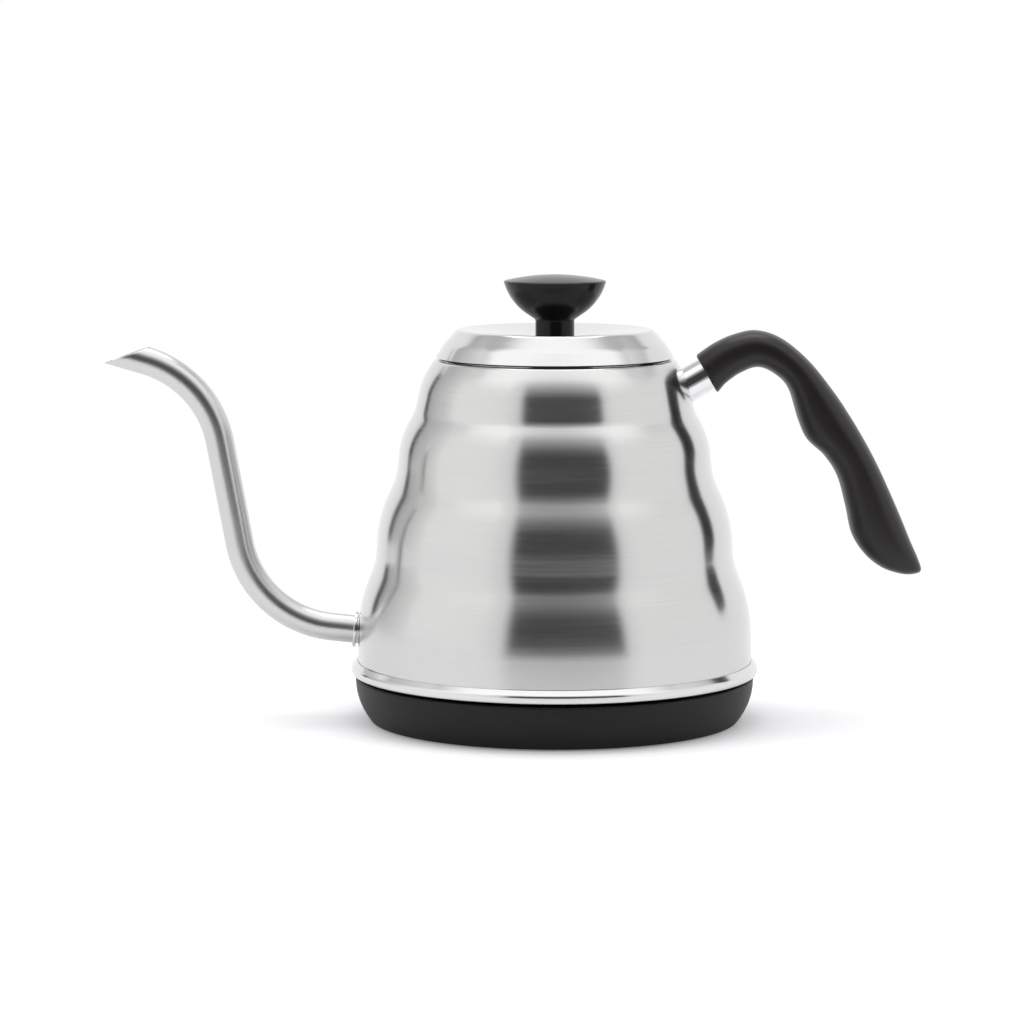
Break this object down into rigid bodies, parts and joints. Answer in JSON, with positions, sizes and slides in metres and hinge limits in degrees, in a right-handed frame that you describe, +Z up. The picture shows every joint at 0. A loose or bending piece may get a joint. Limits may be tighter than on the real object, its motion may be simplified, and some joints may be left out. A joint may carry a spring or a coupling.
{
  "type": "gooseneck kettle",
  "caption": "Cordless pour-over kettle with a ribbed spun-steel body, slim gooseneck spout, open black handle, lift-off lid and a round power base.",
  "frame": {"origin": "where the upright axis of the body meets the plane that the feet stand on", "axes": "+Z up along the body's axis, -X towards the spout, +X towards the handle, -Y towards the viewer who sees the spout on the left"},
  "size_m": [0.2819, 0.1406, 0.1543],
  "materials": {
    "brushed_body": "satin spun steel, brushed round the body",
    "satin_lid": "satin spun steel, brushed round the lid",
    "polished_ring": "polished steel bead",
    "polished_spout": "polished steel tube",
    "bright_chrome": "bright chromed tube",
    "handle_plastic": "satin black moulded handle",
    "knob_plastic": "satin black moulded knob",
    "base_plastic": "fine matt black moulding",
    "inner_plastic": "plain black moulding",
    "switch_plastic": "smooth black rocker",
    "rubber": "black silicone rubber",
    "plated_steel": "zinc-plated steel",
    "contact_brass": "bright brass",
    "plate_aluminium": "plain pressed aluminium",
    "fuse_ceramic": "white glazed ceramic",
    "lead_sheath": "red silicone sheath"
  },
  "bodies": {
    "base": {"base_shell": "base_plastic", "base_plate": "base_plastic", "base_feet": "rubber", "base_screws": "plated_steel", "cord_gland": "rubber", "contact_post": "inner_plastic", "post_contacts": "contact_brass", "post_screws": "plated_steel", "collar_spring": "plated_steel", "switch_frame": "inner_plastic", "switch_terminals": "contact_brass", "base_leads": "lead_sheath"},
    "collar": {"contact_collar": "inner_plastic"},
    "rocker": {"power_switch": "switch_plastic"},
    "kettle": {"body_shell": "brushed_body", "body_floor": "brushed_body", "foot_ring": "polished_ring", "spout_tube": "polished_spout", "spout_collar": "polished_spout", "underside_cover": "base_plastic", "cover_seal": "rubber", "cover_studs": "plated_steel", "cover_screws": "plated_steel", "heat_plate": "plate_aluminium", "heating_element": "plated_steel", "element_pins": "contact_brass", "thermostat": "inner_plastic", "thermal_fuse": "fuse_ceramic", "kettle_socket": "inner_plastic", "socket_contacts": "contact_brass", "socket_screws": "plated_steel", "kettle_leads": "lead_sheath", "handle_ferrule": "bright_chrome", "handle_tang": "plated_steel", "handle": "handle_plastic", "handle_screw": "plated_steel"},
    "lid": {"lid_shell": "satin_lid", "lid_ring": "satin_lid", "lid_knob": "knob_plastic", "knob_washer": "plated_steel", "knob_screw": "plated_steel"}
  },
  "joints": [
    {"name": "kettle_swivel", "type": "hinge", "parent": "base", "child": "collar", "pos_m": [0, 0, 0.0106], "axis": [0, 0, 1], "continuous": true},
    {"name": "kettle_lift", "type": "slide", "parent": "collar", "child": "kettle", "axis": [0, 0, 1], "range_m": [0, 0.04]},
    {"name": "lid_lift", "type": "slide", "parent": "kettle", "child": "lid", "axis": [0, 0, 1], "range_m": [0, 0.04]},
    {"name": "power_switch", "type": "hinge", "parent": "base", "child": "rocker", "pos_m": [0.03723, 0.05316, 0.0072], "axis": [0, 0, 1], "range_deg": [0, 18]}
  ]
}
